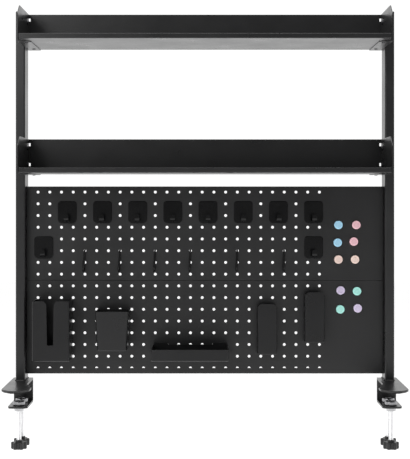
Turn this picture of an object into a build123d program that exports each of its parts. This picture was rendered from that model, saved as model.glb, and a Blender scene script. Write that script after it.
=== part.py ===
"""Clamp-on desk pegboard: two posts on desk clamps, two perforated steel panels,
two shelves, hang-on holders and hooks, and round magnets.

Millimetres. X runs left to right, -Y is the front, +Z is up. The origin lies on the
plane of the desk top, midway between the clamps, at the rear edge of the desk.
"""
import os

from build123d import *

os.makedirs("parts", exist_ok=True)

# ---------------------------------------------------------------- driving dimensions
# posts: rectangular steel tube
POST_W, POST_D, POST_WALL, POST_R = 20.0, 50.0, 1.5, 3.0
POST_X = 390.0  # centre of each post, left and right
POST_INNER = POST_X - POST_W / 2  # inner faces at +-380
POST_Y0, POST_Y1 = -46.0, 4.0  # front and rear faces
POST_YC = (POST_Y0 + POST_Y1) / 2
POST_Z0, POST_Z1 = 6.0, 784.0
CAP_T, CAP_PLUG = 2.0, 12.0

# desk clamps
PLATE_T = 4.0
PAD_T = 2.0  # rubber under the foot plate
CLAMP_W = 41.0
CLAMP_BACK = 4.0  # outer face of the back plate
LOWER_TOP = -42.0
LOWER_FRONT = -88.0
SCREW_Y = (-25.0, -65.0)  # rear and front screw
SCREW_D = 10.0
NUT_AF, NUT_T = 17.0, 8.0
SWIVEL_D, SWIVEL_T = 26.0, 8.0
SWIVEL_Z0 = LOWER_TOP + 0.5
KNOB_Z0, KNOB_Z1 = -134.0, -119.0
HUB_Z1 = -115.0

# shelves
SHELF_Z = {"upper": 709.0, "lower": 441.0}
SHELF_FRONT, SHELF_BACK = -196.0, 4.0
SHELF_H = 77.0
LIP_H = 11.5
SHEET = 1.2
BRACKET_T = 1.5
FLANGE_W = 26.5
END_FRONT = -158.0
END_SLOPE = (-132.0, 58.0)  # where the sloped edge meets the top, and its height at the front
TRAY_NOSE = 371.5  # half width of the tray ahead of its end plates
RIVET_Y = (-135.0, -24.0)

# perforated panels
PANEL_Y = -20.0  # front face
PANEL_DEPTH = 12.0
PANEL_LIP = 9.2
PANEL_FOOT_LIP = 10.3  # lip along the bottom of the lower panel
PANEL_Z = {"upper": (216.5, 416.5), "lower": (17.5, 216.5)}
PITCH = 25.0
COLS, ROWS = 25, 8
COL_1 = -356.0  # first column of holes
ROW_MARGIN = 12.0
HOLE_R = 3.0

# fasteners
BOLT_D, BOLT_HEAD_D, BOLT_HEAD_T = 4.9, 9.5, 2.7
BOLT_HOLE = 5.5
CLINCH_AF, CLINCH_T = 8.0, 4.0

# hang-on pieces
GAP = 0.3  # between a hung piece and the panel
BACK_Y = PANEL_Y - GAP
PEG_R = 1.9
PEG_RISE = 0.4  # pegs hang a little above the middle of their holes
WIRE_R = 2.0
MAGNET_D, MAGNET_T = 18.0, 6.0


def col_x(c):
    """X of hole column c, counted from 1 at the left."""
    return COL_1 + PITCH * (c - 1)


def row_z(r):
    """Z of hole row r, counted from 1 at the top."""
    if r <= ROWS:
        return PANEL_Z["upper"][1] - ROW_MARGIN - PITCH * (r - 1)
    return PANEL_Z["lower"][1] - ROW_MARGIN - PITCH * (r - ROWS - 1)


def front_plane(y):
    """A plane facing the front at Y = y, with local x along X and local y along Z."""
    return Plane.XZ.offset(-y)


def save(part, name):
    part.label = name
    export_step(part, f"parts/{name}.step")


BRACKET_BOLTS = [
    (POST_YC, SHELF_Z[k] + dz) for k in ("upper", "lower") for dz in (22.0, 57.0)
]
PANEL_BOLTS = [
    (PANEL_Y + 6.6, PANEL_Z[k][0] + dz) for k in ("upper", "lower") for dz in (40.0, 159.0)
]
SIDE_HOLES = BRACKET_BOLTS + PANEL_BOLTS

# ---------------------------------------------------------------- posts and caps
for side, sx in (("left", -1), ("right", 1)):
    with BuildPart() as post:
        with BuildSketch(Plane.XY.offset(POST_Z0)):
            with Locations((sx * POST_X, POST_YC)):
                RectangleRounded(POST_W, POST_D, POST_R)
                RectangleRounded(
                    POST_W - 2 * POST_WALL, POST_D - 2 * POST_WALL, POST_R - POST_WALL,
                    mode=Mode.SUBTRACT,
                )
        extrude(amount=POST_Z1 - POST_Z0)
        # bolt holes in the inner wall
        with BuildSketch(Plane.YZ.offset(sx * POST_INNER)):
            with Locations(*SIDE_HOLES):
                Circle(BOLT_HOLE / 2)
        extrude(amount=sx * POST_WALL * 1.5, mode=Mode.SUBTRACT)
    save(post.part, f"{side}_post")

with BuildPart() as post_caps:
    with BuildSketch(Plane.XY.offset(POST_Z1)):
        with Locations((-POST_X, POST_YC), (POST_X, POST_YC)):
            RectangleRounded(POST_W, POST_D, POST_R)
    extrude(amount=CAP_T)
    fillet(post_caps.faces().filter_by(Axis.Z).group_by(Axis.Z)[-1].edges(), 1.2)
    with BuildSketch(Plane.XY.offset(POST_Z1)):
        with Locations((-POST_X, POST_YC), (POST_X, POST_YC)):
            RectangleRounded(POST_W - 2 * POST_WALL - 0.4, POST_D - 2 * POST_WALL - 0.4, 1.2)
    extrude(amount=-CAP_PLUG)
save(post_caps.part, "post_caps")

# ---------------------------------------------------------------- desk clamps
# plan of the foot, for the left clamp: straight outer edge, inner edge flaring towards
# the rounded front
FOOT = [
    (-411.0, CLAMP_BACK), (-411.0, -168.0), (-391.0, -188.0),
    (-373.0, -188.0), (-354.0, -165.0), (-354.0, -138.0), (-369.5, -92.0),
    (-369.5, CLAMP_BACK),
]
FOOT_R = [18.0, 14.0, 14.0, 14.0, 14.0, 30.0]


for side, sx in (("left", -1), ("right", 1)):
    with BuildPart() as bracket:
        # bent strip: foot, back plate and lower plate
        with BuildSketch(Plane.YZ.offset(sx * POST_X - CLAMP_W / 2)):
            with BuildLine():
                Polyline(
                    (CLAMP_BACK, PAD_T + PLATE_T), (-60.0, PAD_T + PLATE_T), (-60.0, PAD_T),
                    (0.0, PAD_T), (0.0, LOWER_TOP), (LOWER_FRONT, LOWER_TOP),
                    (LOWER_FRONT, LOWER_TOP - PLATE_T), (CLAMP_BACK, LOWER_TOP - PLATE_T),
                    close=True,
                )
            make_face()
        extrude(amount=CLAMP_W)
        bends = bracket.edges().filter_by(Axis.X)
        fillet(
            [e for e in bends if abs(e.center().Y - CLAMP_BACK) < 0.1
             and e.center().Z < 0], 5.0,
        )
        fillet(
            [e for e in bracket.edges().filter_by(Axis.X) if abs(e.center().Y) < 0.1
             and e.center().Z < LOWER_TOP + 1], 1.5,
        )
        # rounded front corners of the lower plate
        fillet(
            [e for e in bracket.edges().filter_by(Axis.Z)
             if abs(e.center().Y - LOWER_FRONT) < 0.1], 9.0,
        )
        # the flared foot
        with BuildSketch(Plane.XY.offset(PAD_T)) as foot:
            with BuildLine():
                Polyline(*[(-sx * fx, fy) for fx, fy in FOOT], close=True)
            make_face()
            for (fx, fy), r in zip(FOOT[1:7], FOOT_R):
                fillet(
                    [v for v in foot.vertices()
                     if abs(v.X - (-sx * fx)) < 0.01 and abs(v.Y - fy) < 0.01], r,
                )
        extrude(amount=PLATE_T)
        # upper bend and soft upper rim
        fillet(
            [e for e in bracket.edges().filter_by(Axis.X)
             if abs(e.center().Y - CLAMP_BACK) < 0.1
             and abs(e.center().Z - PAD_T - PLATE_T) < 0.1], 1.0,
        )
        # screw holes
        with BuildSketch(Plane.XY.offset(LOWER_TOP)):
            with Locations(*[(sx * POST_X, y) for y in SCREW_Y]):
                Circle(SCREW_D / 2 + 0.3)
        extrude(amount=-PLATE_T, mode=Mode.SUBTRACT)
    save(bracket.part, f"{side}_clamp_bracket")

with BuildPart() as desk_pads:
    for sx in (-1, 1):
        with BuildSketch(Plane.XY) as pad_plan:
            with BuildLine():
                Polyline(
                    (sx * 407.0, -4.0), (sx * 407.0, -166.0), (sx * 389.5, -184.0),
                    (sx * 374.5, -184.0), (sx * 358.0, -163.5), (sx * 358.0, -139.0),
                    (sx * 373.5, -93.0), (sx * 373.5, -4.0), close=True,
                )
            make_face()
            fillet(pad_plan.vertices(), 5.0)
        extrude(amount=PAD_T)
save(desk_pads.part, "desk_pads")

# ---------------------------------------------------------------- clamp screws
for side, sx in (("left", -1), ("right", 1)):
    for pos, y in zip(("rear", "front"), SCREW_Y):
        name = f"{side}_{pos}"
        x = sx * POST_X
        with BuildPart() as swivel:
            with BuildSketch(Plane.XY.offset(SWIVEL_Z0)):
                with Locations((x, y)):
                    Circle(SWIVEL_D / 2)
            extrude(amount=SWIVEL_T)
            fillet(swivel.edges().group_by(Axis.Z)[-1], 1.5)
            chamfer(swivel.edges().group_by(Axis.Z)[0], 1.0)
            # shallow dish in the pressing face
            with BuildSketch(Plane.XY.offset(SWIVEL_Z0 + SWIVEL_T)):
                with Locations((x, y)):
                    Circle(7.5)
            extrude(amount=-0.8, mode=Mode.SUBTRACT)
            # blind socket for the screw's turned-down end
            with BuildSketch(Plane.XY.offset(SWIVEL_Z0)):
                with Locations((x, y)):
                    Circle(3.6)
            extrude(amount=4.5, mode=Mode.SUBTRACT)
        save(swivel.part, f"{name}_clamp_pad")

        with BuildPart() as screw:
            with BuildSketch(Plane.XY.offset(SWIVEL_Z0 - 0.3)):
                with Locations((x, y)):
                    Circle(SCREW_D / 2)
            extrude(amount=-(SWIVEL_Z0 - 0.3 - (KNOB_Z0 + 6.0)))
            chamfer(screw.edges().group_by(Axis.Z)[0], 0.8)
            with BuildSketch(Plane.XY.offset(SWIVEL_Z0 - 0.3)):
                with Locations((x, y)):
                    Circle(3.5)
            extrude(amount=4.4)
            chamfer(screw.edges().group_by(Axis.Z)[-1], 0.5)
        save(screw.part, f"{name}_clamp_screw")

        with BuildPart() as knob:
            with BuildSketch(Plane.XY.offset(KNOB_Z0)) as star:
                with Locations((x, y)):
                    Circle(12.6)
                    with PolarLocations(12.4, 6):
                        Circle(4.2)
                fillet(star.vertices(), 2.0)
            extrude(amount=KNOB_Z1 - KNOB_Z0)
            fillet(knob.edges().group_by(Axis.Z)[-1], 2.0)
            fillet(knob.edges().group_by(Axis.Z)[0], 2.5)
            with BuildSketch(Plane.XY.offset(KNOB_Z1)):
                with Locations((x, y)):
                    Circle(8.0)
            extrude(amount=HUB_Z1 - KNOB_Z1, taper=8)
            with BuildSketch(Plane.XY.offset(HUB_Z1)):
                with Locations((x, y)):
                    Circle(SCREW_D / 2 + 0.03)
            extrude(amount=-(HUB_Z1 - (KNOB_Z0 + 6.0)), mode=Mode.SUBTRACT)
        save(knob.part, f"{name}_clamp_knob")

# nuts: welded under the lower clamp plates, and clinched inside the posts
with BuildPart() as threaded_inserts:
    with BuildSketch(Plane.XY.offset(LOWER_TOP - PLATE_T)):
        with Locations(*[(sx * POST_X, y) for sx in (-1, 1) for y in SCREW_Y]):
            RegularPolygon(NUT_AF / 2, 6, major_radius=False)
            Circle(SCREW_D / 2 + 0.1, mode=Mode.SUBTRACT)
    extrude(amount=-NUT_T)
    for sx in (-1, 1):
        with BuildSketch(Plane.YZ.offset(sx * (POST_INNER + POST_WALL))):
            with Locations(*SIDE_HOLES):
                RegularPolygon(CLINCH_AF / 2, 6, major_radius=False)
                Circle(BOLT_D / 2 + 0.1, mode=Mode.SUBTRACT)
        extrude(amount=sx * CLINCH_T)
save(threaded_inserts.part, "threaded_inserts")

# ---------------------------------------------------------------- shelves
for level, z in SHELF_Z.items():
    zt = z + BRACKET_T  # underside of the tray
    half = POST_INNER - BRACKET_T
    with BuildPart() as tray:
        with BuildSketch(Plane.YZ.offset(-half)):
            with BuildLine():
                Polyline(
                    (SHELF_BACK, zt), (SHELF_FRONT, zt), (SHELF_FRONT, zt + LIP_H - BRACKET_T),
                    (SHELF_FRONT + 5.0, zt + LIP_H - BRACKET_T),
                    (SHELF_FRONT + 5.0, zt + LIP_H - BRACKET_T - SHEET),
                    (SHELF_FRONT + SHEET, zt + LIP_H - BRACKET_T - SHEET),
                    (SHELF_FRONT + SHEET, zt + SHEET), (SHELF_BACK - SHEET, zt + SHEET),
                    (SHELF_BACK - SHEET, z + SHELF_H), (SHELF_BACK, z + SHELF_H),
                    close=True,
                )
            make_face()
        extrude(amount=2 * half)
        # bends
        fillet(
            [e for e in tray.edges().filter_by(Axis.X)
             if abs(e.center().Z - zt) < 0.01], 1.6,
        )
        fillet(
            [e for e in tray.edges().filter_by(Axis.X)
             if abs(e.center().Y - SHELF_FRONT) < 0.01
             and abs(e.center().Z - zt - LIP_H + BRACKET_T) < 0.01], 0.7,
        )
        # open corner slits at both ends of the rear wall
        with BuildSketch(front_plane(SHELF_BACK + 1.0)):
            with Locations(*[
                (s * (half - 1.7), z + dz) for s in (-1, 1) for dz in (22.7, SHELF_H - 11.5)
            ]):
                Rectangle(3.4, 6.4)
        extrude(amount=4.0, mode=Mode.SUBTRACT)
        # narrower nose ahead of the end plates
        with BuildSketch(Plane.XY.offset(zt - 1.0)):
            with Locations(*[
                (s * (TRAY_NOSE + 10.0), (END_FRONT - 0.5 + SHELF_FRONT - 10.0) / 2) for s in (-1, 1)
            ]):
                Rectangle(20.0, END_FRONT - 0.5 - SHELF_FRONT + 10.0)
        extrude(amount=LIP_H + 5.0, mode=Mode.SUBTRACT)
        # rivet holes over the side flanges
        with BuildSketch(Plane.XY.offset(zt)):
            with Locations(*[
                (s * (POST_INNER - 16.0), y) for s in (-1, 1) for y in RIVET_Y
            ]):
                Circle(2.2)
        extrude(amount=SHEET, mode=Mode.SUBTRACT)
    save(tray.part, f"{level}_shelf_tray")

    for side, sx in (("left", -1), ("right", 1)):
        with BuildPart() as end:
            with BuildSketch(Plane.YZ.offset(sx * POST_INNER)) as end_plan:
                with BuildLine():
                    Polyline(
                        (SHELF_BACK, z), (END_FRONT, z), (END_FRONT, z + END_SLOPE[1]),
                        (END_SLOPE[0], z + SHELF_H), (SHELF_BACK, z + SHELF_H), close=True,
                    )
                make_face()
                fillet(
                    [v for v in end_plan.vertices()
                     if v.X < -100 and v.Y > z + 10], 7.0,
                )
                fillet(
                    [v for v in end_plan.vertices()
                     if v.X > 0 and v.Y > z + 10], 3.0,
                )
                with Locations(*[(POST_YC, z + dz) for dz in (22.0, 57.0)]):
                    Circle(BOLT_HOLE / 2, mode=Mode.SUBTRACT)
            extrude(amount=-sx * BRACKET_T)
            # flange under the tray
            with BuildSketch(Plane.XY.offset(z)) as flange:
                with BuildLine():
                    Polyline(
                        (sx * POST_INNER, SHELF_BACK), (sx * POST_INNER, END_FRONT),
                        (sx * (POST_INNER - FLANGE_W + 10), END_FRONT),
                        (sx * (POST_INNER - FLANGE_W), END_FRONT + 10),
                        (sx * (POST_INNER - FLANGE_W), SHELF_BACK), close=True,
                    )
                make_face()
                with Locations(*[(sx * (POST_INNER - 16.0), y) for y in RIVET_Y]):
                    Circle(2.2, mode=Mode.SUBTRACT)
            extrude(amount=BRACKET_T)
            # bend along the lower outer corner
            fillet(
                [e for e in end.edges().filter_by(Axis.Y)
                 if abs(e.center().Z - z) < 0.01
                 and abs(abs(e.center().X) - POST_INNER) < 0.01], 1.2,
            )
        save(end.part, f"{level}_shelf_{side}_bracket")

# button-head bolts: bracket ends and panel flanges to the posts
with BuildPart() as frame_bolts:
    for sx in (-1, 1):
        for sheet, spots in ((BRACKET_T, BRACKET_BOLTS), (SHEET, PANEL_BOLTS)):
            seat = sx * (POST_INNER - sheet)
            top = seat - sx * BOLT_HEAD_T
            with BuildSketch(Plane.YZ.offset(seat)):
                with Locations(*spots):
                    Circle(BOLT_D / 2)
            extrude(amount=sx * (POST_WALL + CLINCH_T + 2.0))
            with BuildSketch(Plane.YZ.offset(seat)):
                with Locations(*spots):
                    Circle(BOLT_HEAD_D / 2)
            extrude(amount=-sx * BOLT_HEAD_T)
            fillet(
                [e for f in frame_bolts.faces().filter_by(Axis.X)
                 if abs(f.center().X - top) < 0.01 for e in f.edges()], 1.6,
            )
            with BuildSketch(Plane.YZ.offset(top)):
                with Locations(*spots):
                    RegularPolygon(1.5, 6, major_radius=False)
            extrude(amount=sx * 1.6, mode=Mode.SUBTRACT)
save(frame_bolts.part, "frame_bolts")

# rivets joining the trays to their side flanges
with BuildPart() as tray_rivets:
    for z in SHELF_Z.values():
        spots = [(s * (POST_INNER - 16.0), y) for s in (-1, 1) for y in RIVET_Y]
        with BuildSketch(Plane.XY.offset(z)):
            with Locations(*spots):
                Circle(2.0)
        extrude(amount=BRACKET_T + SHEET)
        for z_head, up in ((z, -1), (z + BRACKET_T + SHEET, 1)):
            with BuildSketch(Plane.XY.offset(z_head)):
                with Locations(*spots):
                    Circle(3.6)
            extrude(amount=up * 1.3, taper=25)
save(tray_rivets.part, "tray_rivets")

# ---------------------------------------------------------------- perforated panels
for level, (z0, z1) in PANEL_Z.items():
    zc = (z0 + z1) / 2
    w, h = 2 * POST_INNER, z1 - z0
    with BuildPart() as panel:
        # folded tray: face sheet with a flange on all four sides
        with BuildSketch(front_plane(PANEL_Y + PANEL_DEPTH)):
            with Locations((0, zc)):
                Rectangle(w, h)
        extrude(amount=PANEL_DEPTH)
        fillet(
            panel.faces().sort_by(Axis.Y)[0].edges(), 1.0,
        )
        with BuildSketch(front_plane(PANEL_Y + PANEL_DEPTH)):
            with Locations((0, zc)):
                Rectangle(w - 2 * SHEET, h - 2 * SHEET)
        extrude(amount=PANEL_DEPTH - SHEET, mode=Mode.SUBTRACT)
        # return lips along the top and bottom flanges
        with BuildSketch(front_plane(PANEL_Y + PANEL_DEPTH)):
            foot_lip = PANEL_FOOT_LIP if level == "lower" else PANEL_LIP
            with Locations((0, z0 + foot_lip / 2)):
                Rectangle(w - 40.0, foot_lip)
            with Locations((0, z1 - PANEL_LIP / 2)):
                Rectangle(w - 40.0, PANEL_LIP)
        extrude(amount=SHEET)
        # the hole grid
        with BuildSketch(front_plane(PANEL_Y + SHEET)):
            with Locations((COL_1 + PITCH * (COLS - 1) / 2, z1 - ROW_MARGIN - PITCH * (ROWS - 1) / 2)):
                with GridLocations(PITCH, PITCH, COLS, ROWS):
                    Circle(HOLE_R)
        extrude(amount=SHEET, mode=Mode.SUBTRACT)
        # bolt holes in the side flanges
        for sx in (-1, 1):
            with BuildSketch(Plane.YZ.offset(sx * POST_INNER)):
                with Locations(*[p for p in PANEL_BOLTS if z0 < p[1] < z1]):
                    Circle(BOLT_HOLE / 2)
            extrude(amount=-sx * SHEET, mode=Mode.SUBTRACT)
    save(panel.part, f"{level}_pegboard_panel")

# ---------------------------------------------------------------- plate hooks
# made once about column 1 and row 1, then set along the panel
HOOK_W, HOOK_UP, HOOK_DOWN, HOOK_T = 40.0, 5.5, 17.0, 2.0
TONGUE_W, TONGUE_T = 10.0, 2.0


def peg_points(z, reach, rise):
    """A hooked peg in the YZ plane: in through the hole, then up behind the panel."""
    return [
        (BACK_Y - 0.6, z + PEG_RISE), (PANEL_Y + reach, z + PEG_RISE),
        (PANEL_Y + reach, z + PEG_RISE + rise),
    ]


hook_x = (col_x(1) + col_x(2)) / 2
hook_z1, hook_z2 = row_z(1), row_z(2)
with BuildPart() as plate_hook:
    with BuildSketch(front_plane(BACK_Y)) as plate:
        with Locations((hook_x, (hook_z1 + HOOK_UP + hook_z2 - HOOK_DOWN) / 2)):
            Rectangle(HOOK_W, HOOK_UP + PITCH + HOOK_DOWN)
        fillet(plate.vertices().group_by(Axis.Y)[-1], 6.5)
        fillet(plate.vertices().group_by(Axis.Y)[0], 9.0)
    extrude(amount=HOOK_T)
    fillet(
        plate_hook.faces().filter_by(Axis.Y).edges(), 0.95,
    )
    # tongue bent forward and up
    with BuildSketch(Plane.YZ.offset(hook_x - TONGUE_W / 2)):
        with BuildLine():
            tongue = FilletPolyline(
                (BACK_Y - 0.7, hook_z2 - 11.0), (BACK_Y - 26.0, hook_z2 - 11.0),
                (BACK_Y - 26.0, hook_z2 + 3.0), radius=6.0,
            )
        trace(line_width=TONGUE_T)
    extrude(amount=TONGUE_W)
    fillet(
        [e for e in plate_hook.edges().filter_by(Axis.Y)
         if e.center().Z > hook_z2 + 2.5 and e.center().Y < BACK_Y - 20], 3.5,
    )
    # hooked pegs in the upper row, short pins in the lower row
    for x in (col_x(1), col_x(2)):
        with BuildLine(Plane.YZ.offset(x)) as peg:
            FilletPolyline(*peg_points(hook_z1, 5.6, 8.0), radius=3.0)
        with BuildSketch(Plane(origin=peg.line @ 0, z_dir=peg.line % 0)):
            Circle(PEG_R)
        sweep(path=peg.line)
    with BuildSketch(front_plane(BACK_Y)):
        with Locations((col_x(1), hook_z2 + PEG_RISE), (col_x(2), hook_z2 + PEG_RISE)):
            Circle(PEG_R)
    extrude(amount=-5.0)

PLATE_HOOKS = [(c, 2) for c in (3, 6, 9, 12, 15, 18, 21, 24)] + [(1, 5), (24, 5)]
for i, (c, r) in enumerate(PLATE_HOOKS, 1):
    save(
        plate_hook.part.moved(Location((col_x(c) - col_x(1), 0, row_z(r) - hook_z1))),
        f"plate_hook_{i}",
    )

# ---------------------------------------------------------------- wire hooks
wire_y = PANEL_Y - GAP - WIRE_R
wz = row_z(1) + PEG_RISE
WIRE_DX, WIRE_LEAN = -0.4, 2.0  # the wire hangs a little left in its hole, and leans
with BuildPart() as wire_hook:
    with BuildLine(Plane.YZ.offset(col_x(1) + WIRE_DX)) as wire:
        FilletPolyline(
            (PANEL_Y + 6.2, wz + 9.0), (PANEL_Y + 6.2, wz), (wire_y, wz),
            (wire_y, wz - 44.0), (wire_y - 19.0, wz - 44.0), (wire_y - 19.0, wz - 22.0),
            radius=[3.2, 3.2, 9.2, 9.2],
        )
    with BuildSketch(Plane(origin=wire.line @ 0, z_dir=wire.line % 0)):
        Circle(WIRE_R)
    sweep(path=wire.line)
    with Locations(wire.line @ 0, wire.line @ 1):
        Sphere(WIRE_R)

WIRE_HOOKS = [(c, 6) for c in (5, 8, 11, 14, 18, 22)]
for i, (c, r) in enumerate(WIRE_HOOKS, 1):
    leaning = wire_hook.part.rotate(Axis((col_x(1), 0, row_z(1)), (0, 1, 0)), WIRE_LEAN)
    save(
        leaning.moved(Location((col_x(c) - col_x(1), 0, row_z(r) - row_z(1)))),
        f"wire_hook_{i}",
    )

# ---------------------------------------------------------------- holders
WALL = 1.5
REACH = 6.9  # how far behind the panel's face the hooked pegs of the holders go


# slotted holder: deep box with a slot down its front
SH_X0, SH_X1, SH_D = -359.7, -282.2, 68.0
SH_Z0, SH_Z1 = 51.5, 177.0
SLOT_X, SLOT_TOP, SLOT_LOW, SLOT_Z = -322.2, 15.6, 12.7, 85.0
sh_xc, sh_w = (SH_X0 + SH_X1) / 2, SH_X1 - SH_X0
with BuildPart() as slotted_holder:
    with BuildSketch(Plane.XY.offset(SH_Z0)):
        with Locations((sh_xc, BACK_Y - SH_D / 2)):
            RectangleRounded(sh_w, SH_D, 3.5)
    extrude(amount=SH_Z1 - SH_Z0)
    fillet(slotted_holder.faces().sort_by(Axis.Z)[0].edges(), 2.5)
    with BuildSketch(Plane.XY.offset(SH_Z0 + WALL)):
        with Locations((sh_xc, BACK_Y - SH_D / 2)):
            RectangleRounded(sh_w - 2 * WALL, SH_D - 2 * WALL, 2.0)
    extrude(amount=SH_Z1 - SH_Z0, mode=Mode.SUBTRACT)
    with BuildSketch(front_plane(BACK_Y - SH_D + 3.5)) as slot:
        with BuildLine():
            Polyline(
                (SLOT_X - SLOT_LOW / 2, SLOT_Z), (SLOT_X + SLOT_LOW / 2, SLOT_Z),
                (SLOT_X + SLOT_TOP / 2, SH_Z1 - 7.0), (SLOT_X + SLOT_TOP / 2 + 6.0, SH_Z1 + 0.5),
                (SLOT_X - SLOT_TOP / 2 - 6.0, SH_Z1 + 0.5), (SLOT_X - SLOT_TOP / 2, SH_Z1 - 7.0),
                close=True,
            )
        make_face()
        fillet([v for v in slot.vertices() if v.Y < SLOT_Z + 1], 2.0)
        fillet([v for v in slot.vertices() if abs(v.Y - SH_Z1 + 7.0) < 0.5], 6.0)
    extrude(amount=8.0, mode=Mode.SUBTRACT)
    # rim rolled over at the top of the rear wall
    fillet(
        [e for e in slotted_holder.edges().filter_by(Axis.X)
         if abs(e.center().Z - SH_Z1) < 0.01 and e.center().Y > BACK_Y - WALL - 0.1], 0.7,
    )
    for c in (1, 3):
        with BuildLine(Plane.YZ.offset(col_x(c))) as peg:
            FilletPolyline(*peg_points(row_z(11), REACH, 8.0), radius=3.0)
        with BuildSketch(Plane(origin=peg.line @ 0, z_dir=peg.line % 0)):
            Circle(PEG_R)
        sweep(path=peg.line)
    with BuildSketch(front_plane(BACK_Y)):
        with Locations(*[(col_x(c), row_z(14) + PEG_RISE) for c in (1, 3)]):
            Circle(PEG_R)
    extrude(amount=-5.0)
save(slotted_holder.part, "slotted_holder")

# pen cup: tapered box
CUP_X0, CUP_X1, CUP_D = -228.8, -159.0, 68.0
CUP_BX0, CUP_BX1, CUP_BD = -224.9, -162.9, 63.0
CUP_Z0, CUP_Z1 = 73.0, 155.5
with BuildPart() as pen_cup:
    with BuildSketch(Plane.XY.offset(CUP_Z0)):
        with Locations(((CUP_BX0 + CUP_BX1) / 2, BACK_Y - CUP_BD / 2)):
            RectangleRounded(CUP_BX1 - CUP_BX0, CUP_BD, 5.0)
    with BuildSketch(Plane.XY.offset(CUP_Z1)):
        with Locations(((CUP_X0 + CUP_X1) / 2, BACK_Y - CUP_D / 2)):
            RectangleRounded(CUP_X1 - CUP_X0, CUP_D, 5.0)
    loft()
    fillet(pen_cup.faces().sort_by(Axis.Z)[0].edges(), 2.2)
    with BuildSketch(Plane.XY.offset(CUP_Z0 + WALL)):
        with Locations(((CUP_BX0 + CUP_BX1) / 2, BACK_Y - CUP_BD / 2)):
            RectangleRounded(CUP_BX1 - CUP_BX0 - 2 * WALL, CUP_BD - 2 * WALL, 3.5)
    with BuildSketch(Plane.XY.offset(CUP_Z1)):
        with Locations(((CUP_X0 + CUP_X1) / 2, BACK_Y - CUP_D / 2)):
            RectangleRounded(CUP_X1 - CUP_X0 - 2 * WALL, CUP_D - 2 * WALL, 3.5)
    loft(mode=Mode.SUBTRACT)
    fillet(
        [e for e in pen_cup.edges().filter_by(Axis.X)
         if abs(e.center().Z - CUP_Z1) < 0.01 and e.center().Y > BACK_Y - WALL - 0.1], 0.7,
    )
    for c in (7, 8):
        with BuildLine(Plane.YZ.offset(col_x(c))) as peg:
            FilletPolyline(*peg_points(row_z(12), REACH, 8.0), radius=3.0)
        with BuildSketch(Plane(origin=peg.line @ 0, z_dir=peg.line % 0)):
            Circle(PEG_R)
        sweep(path=peg.line)
    with BuildSketch(front_plane(BACK_Y)):
        with Locations(*[(col_x(c), row_z(14) + PEG_RISE) for c in (7, 8)]):
            Circle(PEG_R)
    extrude(amount=-5.0)
save(pen_cup.part, "pen_cup")

# long tray: shallow box on a taller rear plate
LT_X0, LT_X1, LT_D = -110.8, 48.4, 100.0
LT_Z0, LT_Z1, LT_BACK0, LT_EAR = 56.0, 80.0, 48.5, 84.5
lt_xc, lt_w = (LT_X0 + LT_X1) / 2, LT_X1 - LT_X0
with BuildPart() as long_tray:
    with BuildSketch(Plane.XY.offset(LT_Z0)):
        with Locations((lt_xc, BACK_Y - LT_D / 2)):
            RectangleRounded(lt_w, LT_D, 4.0)
    extrude(amount=LT_Z1 - LT_Z0)
    fillet(long_tray.faces().sort_by(Axis.Z)[0].edges(), 2.2)
    with BuildSketch(Plane.XY.offset(LT_Z0 + WALL)):
        with Locations((lt_xc, BACK_Y - LT_D / 2)):
            RectangleRounded(lt_w - 2 * WALL, LT_D - 2 * WALL, 2.5)
    extrude(amount=LT_Z1 - LT_Z0, mode=Mode.SUBTRACT)
    # rear plate with two raised ears
    with BuildSketch(front_plane(BACK_Y)) as rear:
        with Locations((lt_xc, (LT_BACK0 + LT_Z1) / 2)):
            Rectangle(lt_w - 4.0, LT_Z1 - LT_BACK0)
        with Locations(*[(x, (LT_Z1 + LT_EAR) / 2 - 1.0) for x in (col_x(11) + 12.0, col_x(17) - 12.0)]):
            Rectangle(31.0, LT_EAR - LT_Z1 + 2.0)
        fillet(rear.vertices().group_by(Axis.Y)[0], 6.0)
        fillet(rear.vertices().group_by(Axis.Y)[-1], 2.5)
    extrude(amount=WALL)
    fillet(
        [e for e in long_tray.edges().filter_by(Axis.X)
         if abs(e.center().Z - LT_EAR) < 0.01], 0.7,
    )
    for c in (11, 17):
        with BuildLine(Plane.YZ.offset(col_x(c))) as peg:
            FilletPolyline(*peg_points(row_z(14), 5.6, 8.0), radius=3.0)
        with BuildSketch(Plane(origin=peg.line @ 0, z_dir=peg.line % 0)):
            Circle(PEG_R)
        sweep(path=peg.line)
    with BuildSketch(front_plane(BACK_Y)):
        with Locations(*[(col_x(c), row_z(15) + PEG_RISE) for c in (11, 17)]):
            Circle(PEG_R)
    extrude(amount=-5.0)
save(long_tray.part, "long_tray")

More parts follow.
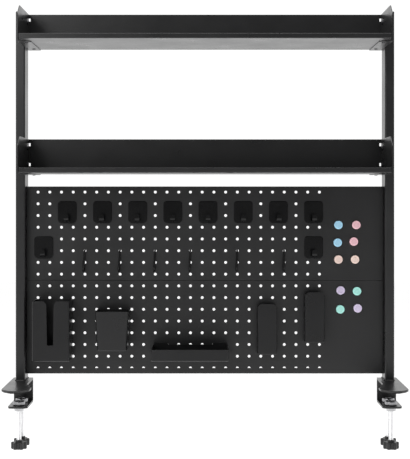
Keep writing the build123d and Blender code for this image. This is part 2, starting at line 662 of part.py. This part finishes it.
# tall pockets: narrow boxes, round-cornered at the top
POCKET_W, POCKET_D, POCKET_H = 42.0, 28.0, 107.0
for side, c, r in (("left", 20, 11), ("right", 24, 10)):
    xc = col_x(c) + PITCH / 2
    top = row_z(r) + 14.0
    z0 = top - POCKET_H
    with BuildPart() as pocket:
        with BuildSketch(Plane.XY.offset(z0)) as plan:
            with Locations((xc, BACK_Y - POCKET_D / 2)):
                Rectangle(POCKET_W, POCKET_D)
            fillet(plan.vertices().group_by(Axis.Y)[0], 4.0)
            fillet(plan.vertices().group_by(Axis.Y)[-1], 2.0)
        extrude(amount=POCKET_H)
        fillet(pocket.faces().sort_by(Axis.Z)[0].edges(), 1.8)
        fillet(
            [e for e in pocket.edges().filter_by(Axis.X)
             if abs(e.center().Z - top) < 0.01 and e.center().Y > BACK_Y - 0.1], 0.7,
        )
        with BuildSketch(Plane.XY.offset(z0 + WALL)) as inside:
            with Locations((xc, BACK_Y - POCKET_D / 2)):
                Rectangle(POCKET_W - 2 * WALL, POCKET_D - 2 * WALL)
            fillet(inside.vertices().group_by(Axis.Y)[0], 2.5)
            fillet(inside.vertices().group_by(Axis.Y)[-1], 0.8)
        extrude(amount=POCKET_H, mode=Mode.SUBTRACT)
        # round the top corners, seen from the front
        with BuildSketch(front_plane(BACK_Y + 1.0)) as shape:
            with Locations((xc, (z0 + top) / 2)):
                Rectangle(POCKET_W, POCKET_H)
            fillet(shape.vertices().group_by(Axis.Y)[-1], 12.0)
        extrude(amount=POCKET_D + 2.0, mode=Mode.INTERSECT)
        for cc in (c, c + 1):
            with BuildLine(Plane.YZ.offset(col_x(cc))) as peg:
                FilletPolyline(*peg_points(row_z(r), REACH, 8.0), radius=3.0)
            with BuildSketch(Plane(origin=peg.line @ 0, z_dir=peg.line % 0)):
                Circle(PEG_R)
            sweep(path=peg.line)
        with BuildSketch(front_plane(BACK_Y)):
            with Locations(*[(col_x(cc), row_z(r + 3) + PEG_RISE) for cc in (c, c + 1)]):
                Circle(PEG_R)
        extrude(amount=-5.0)
    save(pocket.part, f"{side}_pocket")

# ---------------------------------------------------------------- magnets
MAGNETS = [
    ("blue", 1, 284.2, 334.6), ("blue", 2, 282.7, 296.9),
    ("pink", 1, 322.4, 334.6), ("pink", 2, 317.0, 299.2),
    ("peach", 1, 284.2, 261.0), ("peach", 2, 319.6, 261.0),
    ("lilac", 1, 288.9, 195.2), ("lilac", 2, 325.2, 157.0),
    ("mint", 1, 323.7, 193.5), ("mint", 2, 288.0, 154.9),
]
with BuildPart() as magnet:
    with BuildSketch(front_plane(PANEL_Y)):
        Circle(MAGNET_D / 2)
    extrude(amount=MAGNET_T)
    fillet(magnet.edges().group_by(Axis.Y)[0], 1.4)
    fillet(magnet.edges().group_by(Axis.Y)[-1], 0.5)
    with BuildSketch(front_plane(PANEL_Y - MAGNET_T)):
        Circle(5.4)
    extrude(amount=-0.7, mode=Mode.SUBTRACT)
for colour, n, x, z in MAGNETS:
    save(magnet.part.moved(Location((x, 0, z))), f"{colour}_magnet_{n}")
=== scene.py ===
import math
import random

import bmesh
import bpy
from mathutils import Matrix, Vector


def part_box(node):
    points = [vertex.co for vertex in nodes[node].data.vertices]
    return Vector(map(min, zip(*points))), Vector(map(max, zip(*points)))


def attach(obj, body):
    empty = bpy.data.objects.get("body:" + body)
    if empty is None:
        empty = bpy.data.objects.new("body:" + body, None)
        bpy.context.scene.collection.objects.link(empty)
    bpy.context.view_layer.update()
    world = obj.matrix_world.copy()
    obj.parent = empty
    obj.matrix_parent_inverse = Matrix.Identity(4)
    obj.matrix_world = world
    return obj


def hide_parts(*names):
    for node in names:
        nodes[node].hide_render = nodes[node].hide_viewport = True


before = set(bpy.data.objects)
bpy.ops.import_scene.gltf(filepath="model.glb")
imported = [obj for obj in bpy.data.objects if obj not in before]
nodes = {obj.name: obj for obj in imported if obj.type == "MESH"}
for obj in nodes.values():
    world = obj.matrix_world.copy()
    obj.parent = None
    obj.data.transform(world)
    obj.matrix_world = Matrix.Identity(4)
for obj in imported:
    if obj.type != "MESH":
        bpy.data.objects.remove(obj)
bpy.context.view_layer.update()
scene = bpy.context.scene


# ------------------------------------------------------------------ materials
def new_material(name):
    m = bpy.data.materials.new(name)
    m.use_nodes = True
    nt = m.node_tree
    nt.nodes.clear()
    out = nt.nodes.new("ShaderNodeOutputMaterial")
    bsdf = nt.nodes.new("ShaderNodeBsdfPrincipled")
    nt.links.new(bsdf.outputs["BSDF"], out.inputs["Surface"])
    return m, nt, bsdf


def noise(nt, coord, scale, detail=2.0, rough=0.5):
    n = nt.nodes.new("ShaderNodeTexNoise")
    n.inputs["Scale"].default_value = scale
    n.inputs["Detail"].default_value = detail
    n.inputs["Roughness"].default_value = rough
    nt.links.new(coord, n.inputs["Vector"])
    return n.outputs["Fac"]


def ramp(nt, fac, stops):
    r = nt.nodes.new("ShaderNodeValToRGB")
    while len(r.color_ramp.elements) < len(stops):
        r.color_ramp.elements.new(0.5)
    for e, (p, c) in zip(r.color_ramp.elements, stops):
        e.position = p
        e.color = (*c, 1.0)
    nt.links.new(fac, r.inputs["Fac"])
    return r.outputs["Color"]


def spread(nt, fac, lo, hi, a=0.3, b=0.7):
    r = nt.nodes.new("ShaderNodeMapRange")
    r.inputs["From Min"].default_value = a
    r.inputs["From Max"].default_value = b
    r.inputs["To Min"].default_value = lo
    r.inputs["To Max"].default_value = hi
    nt.links.new(fac, r.inputs["Value"])
    return r.outputs["Result"]


def surface(name, base, rough, grain, depth, spec=0.5, metallic=0.0, edge_highlight=None, edge=0.0004,
            rough_var=0.06, tint=0.18, strength=0.35, stretch=None):
    """A coated or moulded surface: fine grain in the normal, cloudy gloss, and painted highlights where
    an edge colour is given: that lighter colour laid on the bevelled edges, broken into patches."""
    m, nt, bsdf = new_material(name)
    tc = nt.nodes.new("ShaderNodeTexCoord")
    coord = tc.outputs["Object"]
    if stretch:
        mp = nt.nodes.new("ShaderNodeMapping")
        mp.inputs["Scale"].default_value = stretch
        nt.links.new(coord, mp.inputs["Vector"])
        coord = mp.outputs["Vector"]
    cloud = noise(nt, coord, 14.0, 4.0, 0.6)
    fine = noise(nt, coord, grain, 3.0, 0.55)
    colour = ramp(nt, cloud, [
        (0.25, tuple(c * (1 - tint) for c in base)), (0.75, tuple(c * (1 + tint) for c in base)),
    ])
    nt.links.new(spread(nt, cloud, rough - rough_var, rough + rough_var), bsdf.inputs["Roughness"])
    bev = nt.nodes.new("ShaderNodeBevel")
    bev.samples = 4
    bev.inputs["Radius"].default_value = edge
    bump = nt.nodes.new("ShaderNodeBump")
    bump.inputs["Strength"].default_value = strength
    bump.inputs["Distance"].default_value = depth
    nt.links.new(fine, bump.inputs["Height"])
    nt.links.new(bev.outputs["Normal"], bump.inputs["Normal"])
    nt.links.new(bump.outputs["Normal"], bsdf.inputs["Normal"])
    # painted highlight: a lighter colour on the bevelled edges, broken into patches
    if edge_highlight is not None:
        geo = nt.nodes.new("ShaderNodeNewGeometry")
        dot = nt.nodes.new("ShaderNodeVectorMath")
        dot.operation = "DOT_PRODUCT"
        nt.links.new(bev.outputs["Normal"], dot.inputs[0])
        nt.links.new(geo.outputs["Normal"], dot.inputs[1])
        edge_highlight_mask = spread(nt, dot.outputs["Value"], 0.55, 0.0, 0.80, 0.995)
        highlight_patches = spread(nt, noise(nt, coord, 90.0, 3.0, 0.6), 0.0, 1.0, 0.45, 0.7)
        mul = nt.nodes.new("ShaderNodeMath")
        mul.operation = "MULTIPLY"
        nt.links.new(edge_highlight_mask, mul.inputs[0])
        nt.links.new(highlight_patches, mul.inputs[1])
        mix = nt.nodes.new("ShaderNodeMix")
        mix.data_type = "RGBA"
        mix.inputs["B"].default_value = (*edge_highlight, 1.0)
        nt.links.new(mul.outputs["Value"], mix.inputs["Factor"])
        nt.links.new(colour, mix.inputs["A"])
        colour = mix.outputs["Result"]
    nt.links.new(colour, bsdf.inputs["Base Color"])
    bsdf.inputs["Specular IOR Level"].default_value = spec
    bsdf.inputs["Metallic"].default_value = metallic
    return m


# the light edge colours given here are painted highlights on the bevelled edges
COAT = surface("powder_coat", (0.010, 0.010, 0.0105), 0.30, 1500.0, 0.00008, spec=0.5,
               edge_highlight=(0.08, 0.08, 0.08), edge=0.0005, rough_var=0.035, strength=0.14)
PANEL = surface("panel_coat", (0.0135, 0.0135, 0.014), 0.36, 900.0, 0.00016, spec=0.40,
                edge_highlight=(0.10, 0.10, 0.10), edge=0.0004)
HOLDER = surface("holder_coat", (0.0075, 0.0075, 0.008), 0.31, 1200.0, 0.00010, spec=0.34,
                 edge_highlight=(0.10, 0.10, 0.10), edge=0.0005)
GLOSS = surface("hook_coat", (0.0030, 0.0030, 0.0033), 0.20, 700.0, 0.00008, spec=0.26,
                edge_highlight=(0.06, 0.06, 0.06), edge=0.0004, rough_var=0.04)
OXIDE = surface("black_oxide", (0.05, 0.05, 0.055), 0.38, 1500.0, 0.00006, metallic=0.8,
                edge_highlight=(0.35, 0.35, 0.36), edge=0.0003)
ZINC = surface("zinc_plate", (0.55, 0.55, 0.56), 0.34, 900.0, 0.00005, metallic=1.0, edge=0.0003,
               tint=0.12)
# zinc-plated steel of the swivel pads with its colour darkened: painted shade standing in for the dark
# clamp plates the pads reflect
PAD_STEEL_PAINTED_SHADE = surface("pad_steel_painted_shade", (0.32, 0.32, 0.33), 0.24, 900.0, 0.00005, metallic=1.0,
                    edge=0.0003, tint=0.15)
CHROME = surface("chrome_plate", (0.94, 0.94, 0.95), 0.34, 1100.0, 0.00002, metallic=1.0,
                 edge=0.0003, tint=0.04, rough_var=0.03, strength=0.1)
PLASTIC = surface("black_plastic", (0.010, 0.010, 0.0105), 0.36, 1800.0, 0.00010, spec=0.5,
                  edge=0.0005)
RUBBER = surface("black_rubber", (0.014, 0.014, 0.014), 0.75, 1500.0, 0.00025, spec=0.3,
                 edge=0.0003, strength=0.6)
MAGNETS = {
    "blue": (0.42, 0.74, 0.95), "pink": (0.95, 0.58, 0.64), "peach": (0.95, 0.74, 0.66),
    "lilac": (0.72, 0.63, 0.83), "mint": (0.46, 0.93, 0.84),
}
MAGNET = {
    k: surface(f"{k}_plastic", v, 0.36, 1400.0, 0.00006, spec=0.5, edge=0.0004, tint=0.05)
    for k, v in MAGNETS.items()
}


def paint(obj, mat):
    obj.data.materials.clear()
    obj.data.materials.append(mat)


def material_for(name):
    if name.endswith("_pegboard_panel"):
        return PANEL
    if "magnet" in name:
        return MAGNET[name.split("_")[0]]
    if name.startswith(("plate_hook", "wire_hook")):
        return GLOSS
    if name in ("slotted_holder", "pen_cup", "long_tray", "left_pocket", "right_pocket"):
        return HOLDER
    if name.endswith("clamp_screw"):
        return CHROME
    if name.endswith("clamp_pad"):
        return PAD_STEEL_PAINTED_SHADE
    if name.endswith("clamp_knob") or name == "post_caps":
        return PLASTIC
    if name == "desk_pads":
        return RUBBER
    if name == "threaded_inserts":
        return ZINC
    if name in ("frame_bolts", "tray_rivets"):
        return OXIDE
    return COAT


for name, obj in nodes.items():
    paint(obj, material_for(name))


# ------------------------------------------------------------------ added pieces
def mesh_object(name, verts, faces, mat, smooth=True):
    me = bpy.data.meshes.new(name)
    me.from_pydata([tuple(v) for v in verts], [], faces)
    me.validate()
    bm = bmesh.new()
    bm.from_mesh(me)
    bmesh.ops.recalc_face_normals(bm, faces=bm.faces)
    bm.to_mesh(me)
    bm.free()
    me.update()
    for p in me.polygons:
        p.use_smooth = smooth
    ob = bpy.data.objects.new(name, me)
    scene.collection.objects.link(ob)
    me.materials.append(mat)
    return ob


def lathe_rows(rows, n):
    """Quad faces joining rings of n points, one ring to the next; the ends are left open."""
    faces = []
    for i in range(rows - 1):
        for j in range(n):
            a, b = i * n + j, i * n + (j + 1) % n
            faces.append((a, b, b + n, a + n))
    return faces


def threaded_rod(name, x, y):
    """Clamp screw with a cut right-hand thread and a plain turned-down upper end."""
    z0, z1, top = -0.1280, -0.0418, -0.0374
    pitch, r_out, depth, n, per = 0.0015, 0.0050, 0.00025, 36, 8
    zs = [z0 + (z1 - z0) * i / int((z1 - z0) / pitch * per) for i in
          range(int((z1 - z0) / pitch * per) + 1)]
    rings = []
    for z in zs:
        lead = min(1.0, (z - z0) / 0.0015, (z1 - z) / 0.0015)
        ring = []
        for j in range(n):
            a = 2 * math.pi * j / n
            ph = (z / pitch - j / n) % 1.0
            v = abs(2 * ph - 1)  # 1 at the crest, 0 at the root
            r = r_out - depth * (1 - min(1.0, v * 1.15)) - 0.0006 * (1 - max(0.0, lead))
            ring.append((x + r * math.cos(a), y + r * math.sin(a), z))
        rings.append(ring)
    for z, r in ((z1 + 0.0001, 0.0035), (top - 0.0005, 0.0035), (top, 0.0030)):
        rings.append([(x + r * math.cos(2 * math.pi * j / n), y + r * math.sin(2 * math.pi * j / n), z)
                      for j in range(n)])
    verts = [p for ring in rings for p in ring]
    faces = lathe_rows(len(rings), n)
    faces.append(tuple(reversed(range(n))))
    base = (len(rings) - 1) * n
    faces.append(tuple(base + j for j in range(n)))
    return mesh_object(name, verts, faces, CHROME)


for side, sx in (("left", -1), ("right", 1)):
    for pos, y in (("rear", -0.025), ("front", -0.065)):
        rod = threaded_rod(f"{side}_{pos}_threaded_rod", sx * 0.390, y)
        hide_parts(f"{side}_{pos}_clamp_screw")
        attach(rod, f"{side}_{pos}_screw")


def weld_bead(name, x, seed):
    """Bead of weld where a post stands on its clamp's foot, round the front and both sides."""
    rnd = random.Random(seed)
    w, r, z = 0.010, 0.003, 0.006
    y0, y1 = -0.046, 0.001
    path = []
    for i in range(24):
        path.append((x - w, y1 + (y0 + r - y1) * i / 24))
    for i in range(7):
        a = math.pi + math.pi / 2 * i / 6
        path.append((x - w + r + r * math.cos(a), y0 + r + r * math.sin(a)))
    for i in range(1, 9):
        path.append((x - w + r + (2 * w - 2 * r) * i / 9, y0))
    for i in range(7):
        a = 1.5 * math.pi + math.pi / 2 * i / 6
        path.append((x + w - r + r * math.cos(a), y0 + r + r * math.sin(a)))
    for i in range(1, 25):
        path.append((x + w, y0 + r + (y1 - y0 - r) * i / 24))
    # finer points so that the ripples of the bead show
    fine = []
    for (ax, ay), (bx, by) in zip(path, path[1:]):
        for k in range(3):
            fine.append((ax + (bx - ax) * k / 3, ay + (by - ay) * k / 3))
    fine.append(path[-1])
    m = 10
    verts, faces = [], []
    for i, (px, py) in enumerate(fine):
        qx, qy = fine[min(i + 1, len(fine) - 1)]
        rx, ry = fine[max(i - 1, 0)]
        t = Vector((qx - rx, qy - ry, 0)).normalized()
        out = Vector((t.y, -t.x, 0))
        if out.dot(Vector((px - x, py - (y0 + y1) / 2, 0))) < 0:
            out = -out
        rad = 0.0019 * (1 + 0.10 * math.sin(i * 2.1) + rnd.uniform(-0.04, 0.04))
        if i in (0, len(fine) - 1):
            rad *= 0.5
        for j in range(m):
            a = 2 * math.pi * j / m
            p = Vector((px, py, z)) + out * (rad * math.cos(a)) + Vector((0, 0, rad * math.sin(a)))
            p.z = max(p.z, z - 0.0004)
            verts.append(p)
    for i in range(len(fine) - 1):
        for j in range(m):
            a, b = i * m + j, i * m + (j + 1) % m
            faces.append((a, b, b + m, a + m))
    faces.append(tuple(reversed(range(m))))
    e = (len(fine) - 1) * m
    faces.append(tuple(e + j for j in range(m)))
    return mesh_object(name, verts, faces, COAT)


for side, sx in (("left", -1), ("right", 1)):
    bead = weld_bead(f"{side}_weld_bead", sx * 0.390, 3 if sx < 0 else 7)
    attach(bead, "frame")


def magnet_insert(node, mat):
    """Domed disc set in the shallow recess of a magnet's face."""
    lo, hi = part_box(node)
    cx, cz, n = (lo.x + hi.x) / 2, (lo.z + hi.z) / 2, 40
    rings = ((0.00525, 0.00069), (0.00525, 0.00050), (0.0049, 0.00030), (0.0040, 0.00022),
             (0.0022, 0.00016))
    verts = [(cx + r * math.cos(2 * math.pi * j / n), lo.y + d, cz + r * math.sin(2 * math.pi * j / n))
             for r, d in rings for j in range(n)]
    faces = lathe_rows(len(rings), n)
    faces.append(tuple(reversed(range(n))))
    faces.append(tuple((len(rings) - 1) * n + j for j in range(n)))
    return mesh_object(f"{node}_insert", verts, faces, mat)


INSERT = {
    k: surface(f"{k}_insert", tuple(0.91 * c for c in v), 0.30, 1400.0, 0.00006, spec=0.5,
               edge=0.0004, tint=0.05)
    for k, v in MAGNETS.items()
}
for name in sorted(nodes):
    if "_magnet_" in name:
        colour = name.split("_")[0]
        disc = magnet_insert(name, INSERT[colour])
        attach(disc, name)

# ------------------------------------------------------------------ floor, light, camera
floor_mat, fnt, fb = new_material("studio_floor")
ftc = fnt.nodes.new("ShaderNodeTexCoord")
fcol = ramp(fnt, noise(fnt, ftc.outputs["Object"], 3.0, 3.0, 0.5),
            [(0.3, (0.93, 0.93, 0.93)), (0.7, (0.96, 0.96, 0.96))])
fnt.links.new(fcol, fb.inputs["Base Color"])
fb.inputs["Roughness"].default_value = 0.9
fb.inputs["Specular IOR Level"].default_value = 0.1
fb.inputs["Emission Color"].default_value = (1.0, 1.0, 1.0, 1.0)
fb.inputs["Emission Strength"].default_value = 0.30
FLOOR_Z = -0.74
me = bpy.data.meshes.new("studio_floor")
S = 14.0
me.from_pydata([(-S, -S, FLOOR_Z), (S, -S, FLOOR_Z), (S, S, FLOOR_Z), (-S, S, FLOOR_Z)], [], [(0, 1, 2, 3)])
floor = bpy.data.objects.new("studio_floor", me)
scene.collection.objects.link(floor)
me.materials.append(floor_mat)

# world: white behind the object, dimmer on the camera's side, as in a studio cove
world = bpy.data.worlds.new("studio")
scene.world = world
world.use_nodes = True
wn = world.node_tree
wn.nodes.clear()
wout = wn.nodes.new("ShaderNodeOutputWorld")
bg = wn.nodes.new("ShaderNodeBackground")
wtc = wn.nodes.new("ShaderNodeTexCoord")
sep = wn.nodes.new("ShaderNodeSeparateXYZ")
wn.links.new(wtc.outputs["Generated"], sep.inputs["Vector"])
grad = wn.nodes.new("ShaderNodeMapRange")
grad.inputs["From Min"].default_value = -0.55
grad.inputs["From Max"].default_value = 0.25
grad.inputs["To Min"].default_value = 0.24
grad.inputs["To Max"].default_value = 1.06
wn.links.new(sep.outputs["Y"], grad.inputs["Value"])
lp = wn.nodes.new("ShaderNodeLightPath")
wmix = wn.nodes.new("ShaderNodeMix")
wmix.data_type = "FLOAT"
wmix.inputs["B"].default_value = 1.06
wn.links.new(lp.outputs["Is Camera Ray"], wmix.inputs["Factor"])
wn.links.new(grad.outputs["Result"], wmix.inputs["A"])
wn.links.new(wmix.outputs["Result"], bg.inputs["Strength"])
bg.inputs["Color"].default_value = (1.0, 1.0, 1.0, 1.0)
wn.links.new(bg.outputs["Background"], wout.inputs["Surface"])


def area(name, loc, target, size, power, size_y=None):
    li = bpy.data.lights.new(name, "AREA")
    li.energy = power
    li.shape = "RECTANGLE"
    li.size = size
    li.size_y = size_y or size
    ob = bpy.data.objects.new(name, li)
    ob.location = loc
    d = Vector(target) - Vector(loc)
    ob.rotation_euler = d.to_track_quat("-Z", "Y").to_euler()
    scene.collection.objects.link(ob)
    return ob


area("overhead", (0.0, -0.6, 3.2), (0.0, 0.0, 0.3), 2.6, 85.0)
area("left_front", (-2.6, -2.6, 1.5), (0.0, 0.0, 0.5), 1.2, 15.0, 1.8)
area("left_card", (-1.35, -2.55, 1.35), (-0.3, 0.0, 0.7), 1.0, 15.0, 0.9)

cam = bpy.data.cameras.new("camera")
cam.sensor_width = 36.0
cam.sensor_fit = "AUTO"
cam.lens = 1255.0 / 459.0 * 36.0
cam.shift_y = -32.5 / 459.0
cam.clip_start = 0.05
cam.clip_end = 60.0
cam.dof.use_dof = False
cam_ob = bpy.data.objects.new("camera", cam)
cam_ob.location = (0.0, -2.696, 0.394)
cam_ob.rotation_euler = (math.radians(90), 0.0, 0.0)
scene.collection.objects.link(cam_ob)
scene.camera = cam_ob

scene.view_settings.view_transform = "Standard"
scene.view_settings.look = "None"
scene.view_settings.exposure = 0.0
scene.view_settings.gamma = 1.0
